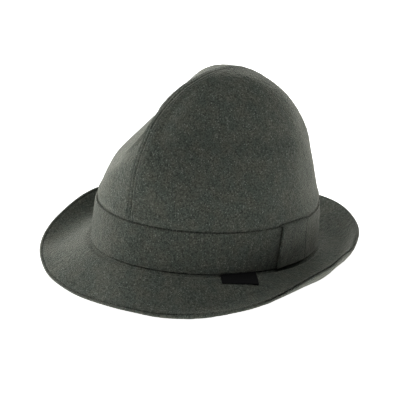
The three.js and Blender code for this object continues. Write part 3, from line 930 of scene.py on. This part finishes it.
# The seam that joins the layers is rolled onto the top face in front. Between the first turns, on the
# wearer's left, it comes out on the edge, and between the others, on the right, it goes back. On the
# edge the layers part in a notch with a lip each, the stitches beside it and a tighter roll.
SEAM_LEAVES = (math.radians(58), math.radians(77))
SEAM_RETURNS = (math.radians(-150), math.radians(-125))
NOTCH_WIDTH = 1.3
NOTCH_DEPTH = 2.3
NOTCH_LIP = 0.5
SIDE_ROW = 0.8
SIDE_ROLL_LESS = 0.6
# Places of the brim's rows in from the opening, in mm: close together beside the foot of the band
SEAT_PLACES = (0, 0.15, 0.45, 1, 2, 3.2, 4.2, 4.5, 4.9, 5.4, 6.0, 6.7, 7.5, 8.6)


def brim_top(around, across):
    """The brim's top face with the gentle unevenness of steamed cloth."""
    points = brim_point(around, across)
    points[..., 2] += ripples(points * (1, 1, 0), **BRIM_WAVE) * ease(across, 1.1, 1.6)
    degrees = np.degrees(short_way(around))
    for bend in named(LIFT_COLUMNS, EDGE_LIFTS):
        lifted = hill(degrees - bend["around"], bend["width"])
        points[..., 2] += bend["rise"] * lifted * ease(across, 1.2, 2)
    return points


def brim():
    """Both layers of the brim, sewn together, turned and edge-stitched: they meet in a rounded rim."""
    turns = np.arange(BRIM_COLUMN_COUNT) * 2 * math.pi / BRIM_COLUMN_COUNT
    fine = np.linspace(0, 2, BRIM_STEPS)
    columns, from_rim = [], []
    for turn in turns:
        reach = lengths_along(brim_top(turn, fine))
        places = places_between(reach[-1], SEAT_PLACES, EDGE_PLACES, BRIM_MIDDLES)
        columns.append(np.interp(places, reach, fine))
        from_rim.append(reach[-1] - places)
    across, from_rim = np.array(columns).T, np.array(from_rim).T
    turns = short_way(turns)
    free_width = BRIM_WIDTH * brim_value("width", turns)
    from_seat = np.minimum(across - 1, 0) * BRIM_SEAT + np.maximum(across - 1, 0) * free_width
    at_sides = hill(np.abs(turns) - SIDE_GROOVE_AROUND, SIDE_GROOVE_LENGTH)
    groove = (FOOT_GROOVE + SIDE_GROOVE * at_sides) * hill(from_seat - GROOVE_OUT, GROOVE_WIDTH)
    top = brim_top(turns[None], across)
    top[..., 2] -= groove * ease(across, 0.2, 0.7)
    up = np.zeros_like(top) + (0, 0, 1)
    free = ease(across, 0.9, 1.1)[..., None]
    ways = unit(grid_normals(top, True, up) * free + up * (1 - free))
    total = BRIM_CLOTH + GAP / 2
    on_edge = np.where(turns > 0, ease(turns, *SEAM_LEAVES), 1 - ease(turns, *SEAM_RETURNS))
    full = rounded(from_rim, EDGE_ROLL * (1 - SIDE_ROLL_LESS * on_edge))
    opening = rounded(across * BRIM_SEAT, BRIM_CLOTH / 2)
    sewn = (1 - on_edge) * relief(from_rim, RIM_RELIEF) + relief(from_rim, TURNING_RELIEF)
    shown = ease(from_seat, 0, 0.6) * ease(from_rim, 0, 1)
    rise = total * full + shown * (sewn + ripples(top, **NAP))
    seat = across < 1.001
    meet = top - ways * total
    notch = NOTCH_WIDTH / 2 * (1 - ease(from_rim, 0, NOTCH_DEPTH))
    gap = GAP / 2 * full + RIM_SLIT + on_edge * notch

    def layer(name, node, sign, thick):
        """One layer: its face away from the other one, and its face towards it."""
        middle = gap + (thick - gap) / 2
        half = (thick - gap) / 2 * opening
        away = meet + ways * (sign * (middle + half))[..., None]
        towards = meet + ways * (sign * (middle - half))[..., None]
        away, towards = standing(away), standing(towards)
        if sign < 0:
            away[..., 2] = np.maximum(away[..., 2], 0)
            towards[..., 2] = np.maximum(towards[..., 2], away[..., 2])
        return cloth_piece(name, away, towards, loden, "loden_cloth", node, closed_round=True)

    lip = gap + on_edge * NOTCH_LIP * rounded(from_rim, NOTCH_LIP)
    thick = np.where(seat, total, np.maximum(rise, lip))
    upper = layer("brim_cloth_upper", "brim_upper", 1, thick)
    under = layer("brim_cloth_under", "brim_under", -1, thick)
    stitched = EDGE_ROW * (1 - on_edge) + SIDE_ROW * on_edge
    rows = []
    for sign in (1, -1):
        face = meet + sign * ways * thick[..., None]
        both = np.concatenate([face, sign * ways], -1)
        line = np.array([
            [np.interp(place, off[::-1], column[::-1]) for column in points.T]
            for place, off, points in zip(stitched, from_rim.T, np.moveaxis(both, 1, 0))
        ])
        rows.append((line[:, :3], unit(line[:, 3:])))
    return upper, under, *rows


brim_upper, brim_under, upper_row, under_row = brim()
stitches("rim_stitches_upper", *upper_row, closed_round=True)
stitches("rim_stitches_under", *under_row, closed_round=True)


def place_on_brim(points):
    """The place on the brim under points seen from above: how far round, how far out from the rim of
    its seat in mm, and how far across."""
    around = np.arctan2(points[..., 0] / HEAD_WIDTH, -points[..., 1] / HEAD_LENGTH)
    step = 1e-3
    for _ in range(8):
        along = (brim_point(around + step, 1) - brim_point(around - step, 1)) / (2 * step)
        miss = points - brim_point(around, 1)
        around = around + (along * miss).sum(-1) / (along * along).sum(-1)
    rim = brim_point(around, 1)
    away = (brim_point(around, 2) - rim) * (1, 1, 0)
    reach = np.linalg.norm(away, axis=-1)
    out = ((points - rim) * away).sum(-1) / reach
    return around, out, 1 + out / reach


# The tab's rows and columns in from its edges in mm and how many lie between them, how much thicker its
# folded edges are, as a share, and how far its free corner stands up in mm
TAB_PLACES = (0, 0.05, 0.15, 0.3, 0.6)
TAB_COLUMN_MIDDLES = 50
TAB_ROW_MIDDLES = 20
TAB_HEM = 0.2
TAB_CURL = 0.5


def label_tab():
    """The woven tab, bare, sewn in at a slant and lying on the brim from the foot of the band."""
    across = places_between(TAB_WIDTH, TAB_PLACES, TAB_PLACES, TAB_COLUMN_MIDDLES)
    middle = brim_point(TAB_AROUND, 1)
    away = unit((brim_point(TAB_AROUND, 2) - middle) * (1, 1, 0))
    c, s = math.cos(TAB_SLANT), math.sin(TAB_SLANT)
    away = np.array([away[0] * c + away[1] * s, away[1] * c - away[0] * s, 0])
    side = np.array([-away[1], away[0], 0])
    ends = middle + away * TAB_LENGTH + side * (across - TAB_WIDTH / 2)[:, None]
    feet = ends * 1.0
    for _ in range(8):
        feet = feet + away * (GAP - place_on_brim(feet)[1])[:, None]
    long = np.linalg.norm(ends - feet, axis=-1)
    along = places_between(TAB_LENGTH, TAB_PLACES, TAB_PLACES, TAB_ROW_MIDDLES)
    share = (along / TAB_LENGTH)[:, None, None]
    around, _, over = place_on_brim(feet * (1 - share) + ends * share)
    grid = brim_top(around, over)
    ways = grid_normals(grid, False, np.zeros_like(grid) + (0, 0, 1))
    sides = np.minimum(across, TAB_WIDTH - across)[None]
    from_ends = np.minimum(share[..., 0], 1 - share[..., 0]) * long
    half = TAB_CLOTH / 2 * rounded(sides, TAB_CLOTH / 2) * rounded(from_ends, TAB_CLOTH / 2)
    half = half * (1 + TAB_HEM * hill(sides - 1, 0.6))
    curl = TAB_CURL * share[..., 0] ** 2 * (across[None] / TAB_WIDTH) ** 3
    level = grid + ways * (GAP + TAB_CLOTH / 2 + curl)[..., None]
    outer = level + ways * half[..., None]
    inner = level - ways * half[..., None]
    return cloth_piece(
        "label_tape", standing(outer), standing(inner), tape, "woven_tape", "label_tab"
    )


label_tab()


# Camera: its direction in degrees, its distance in metres, its film's width in mm, the picture's side in
# pixels, the pixels to a mm of hat, and how many pixels right and up from the picture's middle the
# middle of the band's top lies
CAMERA_AROUND = 45
CAMERA_UP = 23
CAMERA_FAR = 12
FILM_ACROSS = 36
PICTURE = 400
PIXELS_PER_MM = 1.183
BAND_TOP_OFF = (8, 0.5)

# Floor: half its side, and how far it lies below the hat so that the two never touch, in metres
FLOOR_REACH = 6.0
FLOOR_BELOW = 0.0002

# Light: the glow of floor and air, and round lamps of one size, at one distance and aimed at one height
# in metres. Each has a name, how far round from the hat's front and how high it stands in degrees, and
# its power in watts.
FLOOR_GLOW = 1.02
AIR_GLOW = 0.03
LAMP_ACROSS = 1.0
LAMP_FAR = 1.8
LAMPS_AIM = 0.06
LAMP_COLUMNS = ("name", "around", "up", "power")
LAMPS = (
    ("far_side_low", -80, 12, 26),
    ("front_far_side", -45, 35, 10),
    ("back_low", 225, 12, 22),
    ("near_side_high", 105, 60, 7),
    ("back_high", 195, 60, 5.5),
    ("overhead", 0, 89, 2),
)


def from_angles(around, up):
    """The way to a lamp or camera: degrees round from the front to the wearer's left, and up."""
    turn, tip = math.radians(around), math.radians(up)
    return Vector((math.sin(turn) * math.cos(tip), -math.cos(turn) * math.cos(tip), math.sin(tip)))


def studio():
    """A lit white sheet under the hat, soft lamps all round, and a long lens at the photo's angle."""
    mesh = bpy.data.meshes.new("floor_sheet")
    sides = ((-1, -1), (1, -1), (1, 1), (-1, 1))
    corners = [(x * FLOOR_REACH, y * FLOOR_REACH, -FLOOR_BELOW) for x, y in sides]
    mesh.from_pydata(corners, [], [(0, 1, 2, 3)])
    mesh.materials.append(lit_acrylic())
    floor = bpy.data.objects.new("floor_sheet", mesh)
    bpy.context.scene.collection.objects.link(floor)

    world = bpy.data.worlds.new("studio_air")
    bpy.context.scene.world = world
    world.use_nodes = True
    air = world.node_tree
    air.nodes.clear()
    glow = add_node(air, "ShaderNodeBackground", {}, {"Color": (1, 1, 1, 1), "Strength": AIR_GLOW})
    add_node(air, "ShaderNodeOutputWorld", {}, {"Surface": glow.outputs["Background"]})

    for facts in named(LAMP_COLUMNS, LAMPS):
        lamp = bpy.data.lights.new(facts["name"], "AREA")
        lamp.shape = "DISK"
        lamp.size = LAMP_ACROSS
        lamp.energy = facts["power"]
        ray = from_angles(facts["around"], facts["up"])
        holder = bpy.data.objects.new(facts["name"], lamp)
        holder.location = ray * LAMP_FAR + Vector((0, 0, LAMPS_AIM))
        holder.rotation_euler = ray.to_track_quat("Z", "Y").to_euler()
        holder.visible_camera = False
        bpy.context.scene.collection.objects.link(holder)

    camera = bpy.data.cameras.new("long_lens")
    pixels_per_metre = PIXELS_PER_MM * 1000
    camera.lens = CAMERA_FAR * FILM_ACROSS * pixels_per_metre / PICTURE
    camera.clip_end = 100
    back = from_angles(CAMERA_AROUND, CAMERA_UP)
    right = Vector((0, 0, 1)).cross(back).normalized()
    up = back.cross(right)
    off_right, off_up = (pixels / pixels_per_metre for pixels in BAND_TOP_OFF)
    aim = Vector(standing((0, 0, BAND_HEIGHT))) - right * off_right - up * off_up
    holder = bpy.data.objects.new("long_lens", camera)
    holder.location = aim + back * CAMERA_FAR
    holder.rotation_euler = back.to_track_quat("Z", "Y").to_euler()
    bpy.context.scene.collection.objects.link(holder)
    bpy.context.scene.camera = holder
    bpy.context.scene.view_settings.view_transform = "Standard"


studio()
